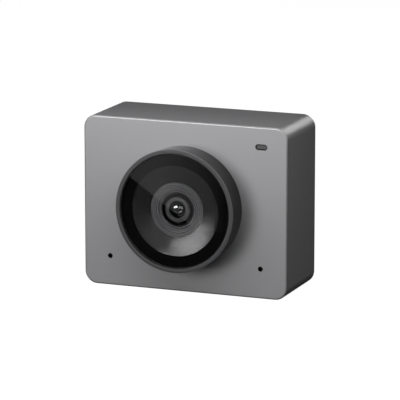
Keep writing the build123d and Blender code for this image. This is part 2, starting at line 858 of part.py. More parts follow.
# Chips: the video processor under its thermal pad, with memory beside it
with BuildPart() as video_processor:
    with BuildSketch(upright(main_front)):
        with Locations((0, lens_height)):
            Rectangle(processor_side, processor_side)
    extrude(amount=-processor_thickness, dir=backward)
finish(video_processor, "video_processor")
with BuildPart() as thermal_pad:
    with BuildSketch(upright(spreader_back)):
        with Locations((0, lens_height)):
            Rectangle(processor_side - board_gap, processor_side - board_gap)
    extrude(amount=cushion_height - processor_thickness, dir=backward)
finish(thermal_pad, "thermal_pad")
memory_x = processor_side / 2 + chip_spacing + memory_width / 2
with BuildPart() as memory_chips:
    with BuildSketch(upright(main_front)):
        with Locations((-memory_x, lens_height), (memory_x, lens_height)):
            Rectangle(memory_width, memory_length)
    extrude(amount=-memory_thickness, dir=backward)
finish(memory_chips, "memory_chips")

# Power parts on the back of the main board
inductor_z = lens_height + inductor_side
with BuildPart() as power_inductors:
    with BuildSketch(upright(main_back)):
        with Locations((0, inductor_z)):
            with GridLocations(2 * inductor_side, 0, 2, 1):
                Rectangle(inductor_side, inductor_side)
    extrude(amount=inductor_height, dir=backward)
finish(power_inductors, "power_inductors")
with BuildPart() as board_capacitors:
    with BuildSketch(upright(main_back)):
        with Locations((0, inductor_z + inductor_side)):
            with GridLocations(
                2 * capacitor_length, 2 * capacitor_width, capacitor_columns, capacitor_rows
            ):
                Rectangle(capacitor_length, capacitor_width)
    extrude(amount=capacitor_height, dir=backward)
finish(board_capacitors, "board_capacitors")

# Sensor cable, led through the top of the opening, over the spreader and down to its connector
flex_level = lens_height + board_hole_side / 2 - board_gap
connector_top = flex_level
connector_low = connector_top - connector_height
connector_face = main_front - connector_thickness
with BuildPart() as sensor_flex:
    with BuildSketch(Plane.YZ.offset(-sensor_flex_width / 2)):
        with BuildLine() as route:
            start_y = (sensor_face + sensor_board_back) / 2 - body_depth / 2
            end_y = connector_face - flex_thickness / 2 - body_depth / 2
            sensor_board_top = lens_height + sensor_board_height / 2
            FilletPolyline(
                (start_y, sensor_board_top),
                (start_y, flex_level),
                (end_y, flex_level),
                (end_y, connector_low),
                radius=flex_bend,
            )
        trace(line_width=flex_thickness)
    extrude(amount=sensor_flex_width)
finish(sensor_flex, "sensor_flex")
with BuildPart() as sensor_connector:
    with BuildSketch(upright(connector_face)):
        with Locations((0, (connector_low + connector_top) / 2)):
            Rectangle(connector_width, connector_height)
    extrude(amount=connector_thickness, dir=backward)
finish(sensor_connector, "sensor_connector")

# Side cable between the front board and the main board
cable_x = -(pad_x + pad_side / 2 + fit_gap + side_connector_width / 2)
side_front = board_back + side_connector_thickness
side_back = main_front - side_connector_thickness
with BuildPart() as front_board_flex:
    with BuildSketch(Plane.XY.offset(lens_height - side_flex_width / 2)):
        with BuildLine() as side_route:
            inner_x = cable_x + side_connector_width / 2
            outer_x = cable_x - side_connector_width / 2
            front_y = side_front + flex_thickness / 2 - body_depth / 2
            back_y = side_back - flex_thickness / 2 - body_depth / 2
            FilletPolyline(
                (inner_x, front_y),
                (outer_x, front_y),
                (outer_x, back_y),
                (inner_x, back_y),
                radius=flex_bend,
            )
        trace(line_width=flex_thickness)
    extrude(amount=side_flex_width)
finish(front_board_flex, "front_board_flex")
with BuildPart() as side_connectors:
    for connector_depth in (board_back, side_back):
        with BuildSketch(upright(connector_depth)):
            with Locations((cable_x, lens_height)):
                Rectangle(side_connector_width, side_flex_width)
        extrude(amount=side_connector_thickness, dir=backward)
finish(side_connectors, "side_connectors")

# Upright USB-C socket: a drawn steel shell round a plastic tongue
usb_back = body_depth - usb_recess
usb_inside_width = usb_width - 2 * usb_wall
usb_inside_thickness = usb_thickness - 2 * usb_wall
with BuildPart() as usb_shell:
    with BuildSketch(upright(main_back)):
        with Locations((0, usb_height)):
            SlotOverall(usb_width, usb_thickness)
            SlotOverall(usb_inside_width, usb_inside_thickness, mode=Mode.SUBTRACT)
    extrude(amount=usb_back - main_back, dir=backward)
finish(usb_shell, "usb_shell")
with BuildPart() as usb_tongue:
    with BuildSketch(upright(main_back)):
        with Locations((0, usb_height)):
            base_width = usb_inside_width - usb_inside_thickness
            Rectangle(base_width, usb_inside_thickness - 2 * slip_gap)
    extrude(amount=usb_base_length, dir=backward)
    with BuildSketch(upright(main_back + usb_base_length)):
        with Locations((0, usb_height)):
            Rectangle(usb_tongue_width, usb_tongue_thickness)
    extrude(amount=usb_back - usb_tongue_recess - main_back - usb_base_length, dir=backward)
finish(usb_tongue, "usb_tongue")

# Tripod socket, a steel insert whose square flange can't turn under its strap
with BuildPart() as tripod_insert:
    with BuildSketch():
        Circle(insert_radius)
    extrude(amount=wall)
    with BuildSketch(Plane.XY.offset(tripod_seat)):
        RegularPolygon(insert_radius, screw_sides, rotation=side_turn)
    extrude(amount=insert_top - tripod_seat)
    with BuildSketch(Plane.XY.offset(wall)):
        Rectangle(insert_flange_side, insert_flange_side)
    extrude(amount=insert_flange_height)
    with BuildSketch():
        Circle(thread_radius)
    extrude(amount=thread_depth, mode=Mode.SUBTRACT)
finish(tripod_insert, "tripod_insert")
with BuildPart() as tripod_strap:
    with BuildSketch(Plane.XY.offset(tripod_seat)):
        Rectangle(strap_length, insert_flange_side)
        strap_bore = insert_radius + fit_gap
        RegularPolygon(strap_bore, screw_sides, False, side_turn, mode=Mode.SUBTRACT)
        with Locations(*strap_points):
            RegularPolygon(board_screw_radius + fit_gap, screw_sides, mode=Mode.SUBTRACT)
    extrude(amount=strap_thickness)
finish(tripod_strap, "tripod_strap")
strap_screw = hidden_screw(
    board_screw_head,
    board_screw_head_height,
    board_screw_radius,
    strap_thickness + strap_screw_grip,
)
with BuildPart(Plane.XY.offset(tripod_seat + strap_thickness)) as tripod_strap_screws:
    with Locations(*strap_points):
        add(strap_screw)
finish(tripod_strap_screws, "tripod_strap_screws")
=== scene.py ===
# %% [markdown]
# # A small box-shaped webcam
# The webcam is a satin metal box with a round lens ring on its front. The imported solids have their
# true sizes, so everything here is measured from them. This lesson sets up the photograph's camera
# and light, and then gives each visible solid its fine edges and its finish.

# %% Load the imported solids
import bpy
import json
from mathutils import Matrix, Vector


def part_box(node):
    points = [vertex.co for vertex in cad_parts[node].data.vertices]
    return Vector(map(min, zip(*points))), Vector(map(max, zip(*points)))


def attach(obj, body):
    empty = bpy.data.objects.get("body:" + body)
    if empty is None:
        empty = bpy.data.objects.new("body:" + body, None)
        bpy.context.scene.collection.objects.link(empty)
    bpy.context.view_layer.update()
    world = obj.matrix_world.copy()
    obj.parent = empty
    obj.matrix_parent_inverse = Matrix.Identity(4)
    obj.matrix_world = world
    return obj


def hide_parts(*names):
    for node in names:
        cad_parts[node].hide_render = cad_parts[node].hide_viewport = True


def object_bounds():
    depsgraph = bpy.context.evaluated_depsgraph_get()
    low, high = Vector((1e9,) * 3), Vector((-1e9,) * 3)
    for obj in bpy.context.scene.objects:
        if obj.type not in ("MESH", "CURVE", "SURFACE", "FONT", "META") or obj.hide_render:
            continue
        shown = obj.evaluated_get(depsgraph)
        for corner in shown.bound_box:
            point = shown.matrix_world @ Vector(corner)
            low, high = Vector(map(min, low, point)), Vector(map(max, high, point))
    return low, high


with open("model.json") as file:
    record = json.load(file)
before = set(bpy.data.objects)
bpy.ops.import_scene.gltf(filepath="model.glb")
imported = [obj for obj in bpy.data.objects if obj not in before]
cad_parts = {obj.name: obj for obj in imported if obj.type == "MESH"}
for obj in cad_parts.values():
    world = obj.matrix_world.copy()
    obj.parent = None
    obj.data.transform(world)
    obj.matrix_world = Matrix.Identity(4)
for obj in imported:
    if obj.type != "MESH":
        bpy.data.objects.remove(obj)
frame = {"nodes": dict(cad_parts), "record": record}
cad_low, cad_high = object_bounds()
cad_size = [round(1000 * s, 2) for s in cad_high - cad_low]
print("solids:", len(frame["nodes"]), "size in mm:", cad_size)

# %% [markdown]
# ## Measuring the solids
# A new piece has to sit where its solid sits. Sizes could be typed in again, but two copies of a
# number soon differ, so they are read from a solid's box or its distance to the lens axis. That
# axis runs along Y, at the ring's middle height. Blender counts in metres, so a size in millimetres
# is written as a number times mm.

# %% Measure the axis and the radii
import json
from math import cos, pi, radians, sin

import bmesh
import bpy
from mathutils import Matrix, Vector

mm = 0.001
ring_low, ring_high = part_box("lens_ring")
lens_height = (ring_low.z + ring_high.z) / 2
body_low, body_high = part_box("front_housing")
body_front = body_low.y


def radii(node):
    """The smallest and largest distance of a solid's points from the lens axis."""
    points = [v.co for v in frame["nodes"][node].data.vertices]
    spans = [Vector((point.x, point.z - lens_height)).length for point in points]
    return min(spans), max(spans)


print("lens axis height in mm:", round(lens_height / mm, 2))

# %% [markdown]
# ## A lathe
# Most pieces of a lens are turned on a lathe, and the same can be done here: a few vertices draw
# half of the section, and the spin operator carries it round the axis. A cylinder would need every
# step cut into it afterwards. A full spin merges its end with its start, so the shell closes.

# %% Make the lathe
turning_steps = 160
merge_distance = 0.0002 * mm


def cleaned(bm):
    """Joins doubled points and turns every face outwards."""
    bmesh.ops.remove_doubles(bm, verts=bm.verts, dist=merge_distance)
    bmesh.ops.recalc_face_normals(bm, faces=bm.faces)
    bm.normal_update()
    return bm


def turned(outline, closed=True):
    """Spins an outline of (y, radius) points once round the lens axis."""
    bm = bmesh.new()
    points = [bm.verts.new((0, y, lens_height + radius)) for y, radius in outline]
    followers = points[1:] + points[:1] if closed else points[1:]
    edges = [bm.edges.new(pair) for pair in zip(points, followers)]
    bmesh.ops.spin(
        bm, geom=points + edges, cent=(0, 0, lens_height), axis=(0, 1, 0), dvec=(0, 0, 0),
        angle=2 * pi, steps=turning_steps, use_merge=True, use_duplicate=False,
    )
    return cleaned(bm)


print("steps in one turn:", turning_steps)

# %% [markdown]
# ## Softened edges
# Real edges are never perfectly sharp, and a small bevel on them catches the thin lines of light
# that make metal look real. A Bevel modifier could do this live, but it takes every sharp edge. The
# operator takes only the edges that a test picks, so one end of a piece can be softened alone.

# %% Make the edge tools
sharp_angle = radians(30)
same_plane = 0.01 * mm


def bevelled(bm, edges, width, segments):
    """Rounds the given edges."""
    bmesh.ops.bevel(
        bm, geom=edges, affect="EDGES", offset=width, offset_type="OFFSET", segments=segments,
        profile=0.5, material=-1, clamp_overlap=True,
    )
    return bm


def soften(bm, width, segments=3, where=lambda edge: True):
    """Rounds the sharp edges that the test picks."""
    sharp = [
        e for e in bm.edges
        if e.is_manifold and e.calc_face_angle(0) > sharp_angle and where(e)
    ]
    bevelled(bm, sharp, width, segments)
    bm.normal_update()
    return bm


def lies_at(y):
    """A test that picks the edges in one plane across the lens axis."""
    return lambda edge: all(abs(v.co.y - y) < same_plane for v in edge.verts)


print("sharp above", round(sharp_angle, 2), "radians")

# %% [markdown]
# ## Blocks and rods
# The body, the vents and the socket are blocks with rounded long edges, and holes and screws are
# rods. A cube or a cone from the create operators is the shortest start for both: one matrix gives
# it its size, place and direction.

# %% Make blocks and rods
along_depth = (0, 1, 0)
along_height = (0, 0, 1)


def block(low, high, corner=0.0, segments=20):
    """A box between two corners, with its four edges along the depth rounded."""
    bm = bmesh.new()
    place = Matrix.Translation((low + high) / 2) @ Matrix.Diagonal((*(high - low), 1))
    bmesh.ops.create_cube(bm, size=1, matrix=place)
    if corner:
        lengthwise = [
            e for e in bm.edges
            if abs((e.verts[0].co - e.verts[1].co).normalized().y) > 0.99
        ]
        bevelled(bm, lengthwise, corner, segments)
    bm.normal_update()
    return bm


def bar(middle, half, corner=0.0, segments=20):
    """A block that reaches half its size to each side of its middle."""
    return block(middle - half, middle + half, corner, segments)


def rod(middle, along, radius, length, segments=48):
    """A cylinder with its middle at a point and its axis along a direction."""
    bm = bmesh.new()
    turn = Vector(along_height).rotation_difference(Vector(along)).to_matrix().to_4x4()
    bmesh.ops.create_cone(
        bm, cap_ends=True, segments=segments, radius1=radius, radius2=radius, depth=length,
        matrix=Matrix.Translation(middle) @ turn,
    )
    return bm


print("body in mm:", [round(s / mm, 2) for s in body_high - body_low])

# %% [markdown]
# ## Joining and cutting shapes
# Several shapes go into one mesh by copying each into it. A hole could be drawn into the faces, but
# a Boolean modifier cuts it as on a milling machine, with the tool's shape. The result is read back
# as a plain mesh, so that no helper object is left in the scene.

# %% Make joining and cutting tools
def hold(name, bm):
    """A plain object that holds a shape."""
    mesh = bpy.data.meshes.new(name)
    bm.to_mesh(mesh)
    bm.free()
    held = bpy.data.objects.new(name, mesh)
    bpy.context.scene.collection.objects.link(held)
    return held


def together(shapes):
    """One shape that holds several."""
    whole = bmesh.new()
    for shape in shapes:
        part = bpy.data.meshes.new("part")
        shape.to_mesh(part)
        shape.free()
        whole.from_mesh(part)
        bpy.data.meshes.remove(part)
    whole.normal_update()
    return whole


def cut(bm, *tools):
    """Cuts the tools' shapes out of a shape."""
    work = hold("work", bm)
    cutter = hold("cutter", together(tools))
    milling = work.modifiers.new("milling", "BOOLEAN")
    milling.operation = "DIFFERENCE"
    milling.solver = "EXACT"
    milling.object = cutter
    result = work.evaluated_get(bpy.context.evaluated_depsgraph_get())
    milled = bpy.data.meshes.new_from_object(result)
    left = bmesh.new()
    left.from_mesh(milled)
    for helper in (work, cutter):
        mesh = helper.data
        bpy.data.objects.remove(helper)
        bpy.data.meshes.remove(mesh)
    bpy.data.meshes.remove(milled)
    return cleaned(left)


# %% [markdown]
# ## Finishes and bodies
# One piece often has several finishes, such as a paler edge, painted on as a highlight, on a black
# ring. An edge as a piece of its own would leave a seam, so a test picks faces and gives them the
# number of a finish. A shape then rides on its body and hides the solids that it stands for. Smooth
# shading with normals weighted by area keeps large faces flat between narrow bevels.

# %% Make the finishing tools
def mark(bm, test, number=1):
    """Gives the faces that pass a test the finish of that number. The first finish is 0."""
    for face in bm.faces:
        if test(face.calc_center_median(), face.normal):
            face.material_index = number
    return bm


def piece(name, bm, finishes, stands_for=(), body="body"):
    """Puts a finished shape on its body, in place of the solids that it stands for."""
    made = hold(name, bm)
    made.data.shade_smooth()
    made.data.set_sharp_from_angle(angle=sharp_angle)
    for finish in finishes:
        made.data.materials.append(finish)
    weighted = made.modifiers.new("even_shading", "WEIGHTED_NORMAL")
    weighted.keep_sharp = True
    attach(made, body)
    if stands_for:
        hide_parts(*stands_for)
    print(name, "faces:", len(made.data.polygons))
    return made


# %% [markdown]
# ## The camera
# The photograph was fitted with a long lens from the right and a little above: the verticals stay
# nearly parallel, and the lens ring shows its right side. The camera's place could be three typed
# numbers, but two angles and a distance are easier to compare with the photograph, and the lamps
# can be placed in the same way.

# %% Place the camera
def stand(thing, target, distance, azimuth, elevation):
    """Stands a camera or lamp off from a target, by angles from the front, and aims it there."""
    away = Vector((
        sin(azimuth) * cos(elevation), -cos(azimuth) * cos(elevation), sin(elevation)
    ))
    bpy.context.scene.collection.objects.link(thing)
    thing.location = target + distance * away
    thing.rotation_euler = (-away).to_track_quat("-Z", "Y").to_euler()


view_target = Vector((3.629, -9.1, 21.022)) * mm
view_distance = 673.6 * mm
view_azimuth = radians(21.468)
view_elevation = radians(12.127)
camera = bpy.data.objects.new("camera", bpy.data.cameras.new("camera"))
stand(camera, view_target, view_distance, view_azimuth, view_elevation)
camera.data.sensor_width = 36
camera.data.lens = 276.7
camera.data.clip_start = 0.01
camera.data.clip_end = 20
bpy.context.scene.camera = camera
bpy.context.scene.view_settings.view_transform = "Standard"
print("camera at", [round(c, 3) for c in camera.location])

# %% [markdown]
# ## Light
# The photograph shows one large soft light at the upper left: it throws the ring's soft shadow to
# the lower right and lights the lower part of the hood. A small strip close above adds to the
# face's top, a lamp behind lights the top and the back, and a faint one fills in at the right. A
# sun would draw hard shadows, so all are area lamps. The first two are hidden from rays through
# glass, where bright panels take their place.

# %% Place the lamps
def softbox(name, target, azimuth, elevation, distance, width, height, watts, in_glass=True):
    """A rectangular lamp that faces a target. Angles are in degrees and sizes in millimetres."""
    light = bpy.data.lights.new(name, "AREA")
    light.shape = "RECTANGLE"
    light.size = width * mm
    light.size_y = height * mm
    light.energy = watts
    lamp = bpy.data.objects.new(name, light)
    stand(lamp, target, distance * mm, radians(azimuth), radians(elevation))
    lamp.visible_camera = False
    lamp.visible_transmission = in_glass


face_centre = Vector((0, body_front, lens_height))
softbox(
    "key_lamp", face_centre, azimuth=-21, elevation=9, distance=430, width=190, height=180,
    watts=0.93, in_glass=False,
)
softbox(
    "top_strip", face_centre + Vector((8, 0, -18.5)) * mm, azimuth=-3, elevation=58,
    distance=72, width=125, height=30, watts=0.042, in_glass=False,
)
softbox(
    "back_lamp", Vector((body_high.x, 0, body_high.z)), azimuth=167, elevation=19,
    distance=350, width=190, height=110, watts=0.3,
)
softbox(
    "side_fill", Vector((body_high.x, 0, lens_height)), azimuth=80, elevation=35,
    distance=220, width=120, height=120, watts=0.027,
)

# %% [markdown]
# ## Background
# The photograph's background is plain white. More light would whiten it too, but would wash out the
# metal. So the world is white only for rays from the camera and for reflected and refracted rays,
# and much dimmer for the light that it sheds. The Light Path node tells these rays apart.

# %% Build the world
def tuned(node, values):
    """Sets some of a node's values, by the names of their sockets."""
    for socket, value in values.items():
        node.inputs[socket].default_value = value
    return node


def maths(nodes, links, operation, *values):
    """A Math node. Each value is a plain number or the socket that gives it."""
    step = nodes.new("ShaderNodeMath")
    step.operation = operation
    for side, value in zip(step.inputs, values):
        if isinstance(value, float):
            side.default_value = value
        else:
            links.new(value, side)
    return step.outputs[0]


def seen_directly(nodes, links):
    """A socket that is 1 for rays from the camera and for reflected and refracted rays."""
    rays = nodes.new("ShaderNodeLightPath").outputs
    either = maths(nodes, links, "MAXIMUM", rays["Is Camera Ray"], rays["Is Glossy Ray"])
    return maths(nodes, links, "MAXIMUM", either, rays["Is Transmission Ray"])


white = (1, 1, 1, 1)
ambient_level = 0.01
world = bpy.data.worlds.new("studio")
bpy.context.scene.world = world
world.use_nodes = True
sky_nodes, sky_links = world.node_tree.nodes, world.node_tree.links
dim_sky = tuned(sky_nodes["Background"], {"Color": white, "Strength": ambient_level})
white_sky = tuned(sky_nodes.new("ShaderNodeBackground"), {"Color": white, "Strength": 1.0})
sky_choice = sky_nodes.new("ShaderNodeMixShader")
sky_links.new(seen_directly(sky_nodes, sky_links), sky_choice.inputs["Fac"])
sky_links.new(dim_sky.outputs[0], sky_choice.inputs[1])
sky_links.new(white_sky.outputs[0], sky_choice.inputs[2])
sky_links.new(sky_choice.outputs[0], sky_nodes["World Output"].inputs["Surface"])
print("light from the world:", ambient_level)

# %% [markdown]
# ## Floor
# The floor works the same way: a pale surface that also shines towards the camera. It reads as
# white and keeps the webcam's soft shadow, which a plain white emission would lose. It lies a hair
# below the webcam, so that the two never share a plane.

# %% Lay the floor
floor_size = 3.0
floor_drop = 0.05 * mm
floor_tone = 0.12
floor_shine = 0.99


def new_finish(name):
    """A new material, with its nodes and their links."""
    finish = bpy.data.materials.new(name)
    finish.use_nodes = True
    print("finish:", name)
    return finish, finish.node_tree.nodes, finish.node_tree.links


floor_shape = bmesh.new()
bmesh.ops.create_grid(floor_shape, x_segments=1, y_segments=1, size=floor_size)
bmesh.ops.translate(floor_shape, verts=floor_shape.verts, vec=(0, 0, -floor_drop))
floor = hold("floor", floor_shape)
floor_finish, floor_nodes, floor_links = new_finish("pale_floor")
floor_nodes.remove(floor_nodes["Principled BSDF"])
floor_colour = (floor_tone, floor_tone, floor_tone, 1)
pale = tuned(floor_nodes.new("ShaderNodeBsdfDiffuse"), {"Color": floor_colour})
shine = floor_nodes.new("ShaderNodeEmission")
seen = seen_directly(floor_nodes, floor_links)
lift = maths(floor_nodes, floor_links, "MULTIPLY", seen, floor_shine)
floor_links.new(lift, shine.inputs["Strength"])
floor_sum = floor_nodes.new("ShaderNodeAddShader")
floor_links.new(pale.outputs[0], floor_sum.inputs[0])
floor_links.new(shine.outputs[0], floor_sum.inputs[1])
floor_links.new(floor_sum.outputs[0], floor_nodes["Material Output"].inputs["Surface"])
floor.data.materials.append(floor_finish)
print("floor at z in mm:", round(-floor_drop / mm, 3))

# %% [markdown]
# ## Black cards
# A photographer keeps dark metal dark with black cards, because gloss and glass would otherwise
# mirror the white room. A darker world would do that too, but would darken the background. Five
# cards stand in front, left, right, behind and on the floor, and show only in reflections and
# through glass. The right one shows only through glass, and gloss sees a grey one there.

# %% Set up the black cards
def card_finish(name, brightness):
    """An even glow, or none at all."""
    finish, nodes, links = new_finish(name)
    nodes.remove(nodes["Principled BSDF"])
    glow = tuned(nodes.new("ShaderNodeEmission"), {"Strength": brightness})
    links.new(glow.outputs[0], nodes["Material Output"].inputs["Surface"])
    return finish


def rectangle(low, high):
    """The four corners of a card that is square to one axis, between two opposite corners."""
    first, last = [axis for axis in range(3) if low[axis] != high[axis]]
    second, fourth = list(low), list(low)
    second[first] = high[first]
    fourth[last] = high[last]
    return [low, second, high, fourth]


def card(name, corners, finish, in_gloss=True, in_glass=True):
    """A flat card, in millimetres, that shows only in reflections and through glass."""
    bm = bmesh.new()
    bm.faces.new([bm.verts.new(Vector(corner) * mm) for corner in corners])
    made = hold(name, bm)
    made.data.materials.append(finish)
    made.visible_camera = False
    made.visible_diffuse = False
    made.visible_shadow = False
    made.visible_glossy = in_gloss
    made.visible_transmission = in_glass
    print("card:", name)


black_card = card_finish("black_card", 0.0)
grey_card = card_finish("grey_card", 0.8)
card("front_card", rectangle((-1200, -480, 0), (1200, -480, 2400)), black_card)
card("left_card", rectangle((-600, -480, 0), (-600, 500, 350)), black_card)
card("right_card", rectangle((700, -480, 0), (700, 500, 1200)), black_card, in_gloss=False)
card("right_glow", rectangle((420, -470, 0), (1200, -470, 500)), grey_card, in_glass=False)
card("floor_card", rectangle((-1200, -900, 0), (1200, 500, 0)), black_card)
card("back_card", rectangle((-700, 500, 0), (900, 500, 450)), black_card)

# %% [markdown]
# ## Bright panels
# In the photograph a wedge of light lies on the hood, and small glints stand in the lens. Both are
# mirror images of the soft light, seen through the cover glass. Brighter lamps would give them too,
# but would change the metal as well. So three panels stand where those images need them, a bright
# one, a wide one and a faint one, and only rays through glass can see them.

# %% Set up the bright panels
bright_panels = (
    ("glow_panel", "panel_light", 36.0, (-240, -350, 12), (-126, -350, 114)),
    ("bright_panel", "bright_light", 16.0, (-426, -350, 2), (-240, -350, 90)),
    ("faint_panel", "faint_light", 1.4, (-75, -350, 2), (110, -350, 105)),
)
for name, light_name, brightness, low, high in bright_panels:
    card(name, rectangle(low, high), card_finish(light_name, brightness), in_gloss=False)

# %% [markdown]
# ## A slanted pale card
# The flat cover glass mirrors something pale at its upper left, with a slanting edge, and this veil
# fades towards the right. Painted on the glass, it wouldn't move with the view as reflections do.
# So a pale card with a slanting lower edge stands in front, and Map Range turns its X coordinate
# into a brightness that falls to nothing.

# %% Set up the slanted card
veil_brightness = 0.51
pale_card = card_finish("pale_card", 1.0)
card_nodes, card_links = pale_card.node_tree.nodes, pale_card.node_tree.links
card_place = card_nodes.new("ShaderNodeTexCoord")
card_axes = card_nodes.new("ShaderNodeSeparateXYZ")
card_links.new(card_place.outputs["Object"], card_axes.inputs[0])
fade = tuned(card_nodes.new("ShaderNodeMapRange"), {
    "From Min": -30 * mm, "From Max": -12.5 * mm, "To Min": veil_brightness, "To Max": 0.0,
})
card_links.new(card_axes.outputs["X"], fade.inputs["Value"])
card_links.new(fade.outputs["Result"], card_nodes["Emission"].inputs["Strength"])
slanted_corners = [
    (-46, -80, 17.6), (-20.2, -80, 0), (-5, -80, 0), (-5, -80, 19), (-46, -80, 19),
]
card("slanted_card", slanted_corners, pale_card, in_glass=False)

# %% [markdown]
# ## A finish from noise
# Every real surface varies a little: bead-blasted metal has a fine grain, moulded plastic a soft
# texture, and both are slightly uneven in gloss. A picture of the surface could bring this, but
# noise needs none and never repeats. On the Principled shader, noise on Object coordinates drifts
# colour and roughness and lifts tiny bumps. The even values stay on the shader's own sockets.

# %% Make the finish tool
broad_scale = 0.12 / mm
smoothest = 0.02


def speckle(nodes, links, scale, detail):
    """A noise on the piece's own coordinates, as a socket from 0 to 1."""
    place = nodes.new("ShaderNodeTexCoord")
    noise = tuned(nodes.new("ShaderNodeTexNoise"), {"Scale": scale, "Detail": detail})
    links.new(place.outputs["Object"], noise.inputs["Vector"])
    return noise.outputs["Fac"]


def surface(name, colour, roughness, metal=0.0, grain=8.0, drift=0.06, bump=0.0,
            gloss_drift=0.05, specular=0.5):
    """A finish whose colour, roughness and relief vary. Grain counts specks per millimetre."""
    finish, nodes, links = new_finish(name)
    shader = tuned(nodes["Principled BSDF"], {"Metallic": metal, "Specular IOR Level": specular})
    broad = speckle(nodes, links, broad_scale, detail=3)
    fine = speckle(nodes, links, grain / mm, detail=4)
    shade = nodes.new("ShaderNodeMix")
    shade.data_type = "RGBA"
    shade.inputs["A"].default_value = (*[c * (1 - drift) for c in colour], 1)
    shade.inputs["B"].default_value = (*[min(1, c * (1 + drift)) for c in colour], 1)
    half_fine = maths(nodes, links, "MULTIPLY", fine, 0.5)
    even_blend = maths(nodes, links, "MULTIPLY_ADD", broad, 0.5, half_fine)
    links.new(even_blend, shade.inputs["Factor"])
    links.new(shade.outputs["Result"], shader.inputs["Base Color"])
    gloss = tuned(nodes.new("ShaderNodeMapRange"), {
        "To Min": max(smoothest, roughness - gloss_drift),
        "To Max": min(1, roughness + gloss_drift),
    })
    links.new(fine, gloss.inputs["Value"])
    links.new(gloss.outputs["Result"], shader.inputs["Roughness"])
    if bump:
        relief = tuned(nodes.new("ShaderNodeBump"), {"Strength": 1.0, "Distance": bump * mm})
        links.new(fine, relief.inputs["Height"])
        links.new(relief.outputs["Normal"], shader.inputs["Normal"])
    return finish


print("finishes so far:", len(bpy.data.materials))

# %% [markdown]
# ## The housing
# The body is one aluminium shell, blasted to a satin grey and anodised. Flat panels would be
# simpler, but a real shell is worked from one block, and so is this one: long edges rounded, front
# and back rims bevelled, inside milled out. The front rim is a thin bright cut edge, and the walls
# of the holes are painted near black as shade, so both have their own finishes.

# %% Finish the housing metal
housing_metal = surface(
    "satin_grey_metal", (0.27, 0.269, 0.277), 0.36, grain=9.0, drift=0.03, bump=0.003,
    specular=0.3,
)
cut_edge = surface(
    "bright_cut_edge", (0.27, 0.27, 0.274), 0.3, metal=0.35, grain=14.0, drift=0.05,
    gloss_drift=0.04,
)
# Painted shade: the walls of the holes in the front are made near black, so the holes read dark.
hole_wall_painted_shade = surface(
    "black_hole_wall_painted_shade", (0.004, 0.004, 0.004), 0.6, grain=10.0, drift=0.1, specular=0.1
)

# %% Shape the shell
wall = 1.2 * mm
corner = 2.9 * mm
front_bevel = 0.4 * mm
rear_bevel = 0.3 * mm
overshoot = 1.0 * mm

housing = block(body_low, body_high, corner)
soften(housing, front_bevel, 4, lies_at(body_front))
soften(housing, rear_bevel, 3, lies_at(body_high.y))
cavity = block(
    body_low + Vector((wall, wall, wall)),
    Vector((body_high.x - wall, body_high.y + overshoot, body_high.z - wall)),
    corner - wall,
)
housing = cut(housing, cavity)
print("shell faces:", len(housing.faces))

# %% [markdown]
# ## Holes in the walls
# The front wall has a large hole for the ring's spigot, two small ones for the microphones and a
# slot for the indicator, and the bottom has one for the tripod insert. Each tool stands out on both
# sides of its wall, because a Boolean is unsure where faces share a plane.

# %% Cut the holes
drill_margin = 0.5 * mm
spigot_hole_radius = 12.5 * mm
mic_hole_radius = 0.57 * mm
insert_hole_radius = 4.05 * mm
slot_half = Vector((1.4 * mm, wall + overshoot, 0.65 * mm))
slot_corner = 0.649 * mm
bore_segments = 96


def middle_of(node):
    """The centre of a solid's box."""
    low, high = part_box(node)
    return (low + high) / 2


def mic_drill(node):
    """A drill through the front wall, in front of a microphone's membrane."""
    spot = Vector((middle_of(node).x, body_front, middle_of(node).z))
    return rod(spot, along_depth, mic_hole_radius, 2 * (wall + overshoot))


window_middle = middle_of("indicator_window")
slot_middle = Vector((window_middle.x, body_front, window_middle.z))
drilled = 2 * (wall + drill_margin)
housing = cut(
    housing,
    rod((0, body_front, lens_height), along_depth, spigot_hole_radius, drilled, turning_steps),
    mic_drill("left_mic_membrane"),
    mic_drill("right_mic_membrane"),
    bar(slot_middle, slot_half, slot_corner, segments=16),
    rod((0, 0, 0), along_height, insert_hole_radius, drilled, bore_segments),
)
print("with holes:", len(housing.faces))

# %% Mark the cut edge and the hole walls
facing_front = 0.995
facing_aside = 0.05


def on_cut_edge(middle, normal):
    """The front bevel, which faces neither straight forward nor straight aside."""
    in_bevel = body_front < middle.y < body_front + front_bevel
    return in_bevel and facing_aside < -normal.y < facing_front


def on_hole_wall(middle, normal):
    """Faces inside the front wall that look aside, away from the shell's own sides."""
    in_wall = body_front < middle.y < body_front + wall
    inside = (
        body_low.x + wall < middle.x < body_high.x - wall
        and body_low.z + wall < middle.z < body_high.z - wall
    )
    return in_wall and inside and abs(normal.y) < facing_aside


mark(housing, on_cut_edge)
# The hole walls take the painted shade.
mark(housing, on_hole_wall, 2)
housing_finishes = [housing_metal, cut_edge, hole_wall_painted_shade]
piece("housing_shell", housing, housing_finishes, ["front_housing"])

# %% [markdown]
# ## The lens ring
# The ring is turned from bar and anodised a glossy black, and its side narrows a little towards the
# body. Its rim and inner wall are blasted to a dull grey, and its outer edge is painted paler as a
# thin highlight line. The section is drawn as points in the solid's own sizes and spun round the
# lens axis. A cylinder would need a cut for each step.

# %% Finish the lens ring's metal
ring_black = surface(
    "gloss_black_metal", (0.004, 0.004, 0.0043), 0.1, grain=10.0, specular=0.36, gloss_drift=0.02
)
ring_rim = surface(
    "grey_blasted_rim", (0.055, 0.055, 0.057), 0.5, grain=10.0, drift=0.04, specular=0.2
)
# Painted highlight: the rim's outer bevel is made paler than the ring, to draw its thin bright line.
ring_edge_highlight = surface(
    "painted_highlight_ring_edge", (0.16, 0.16, 0.162), 0.4, grain=10.0, drift=0.08, specular=0.4
)

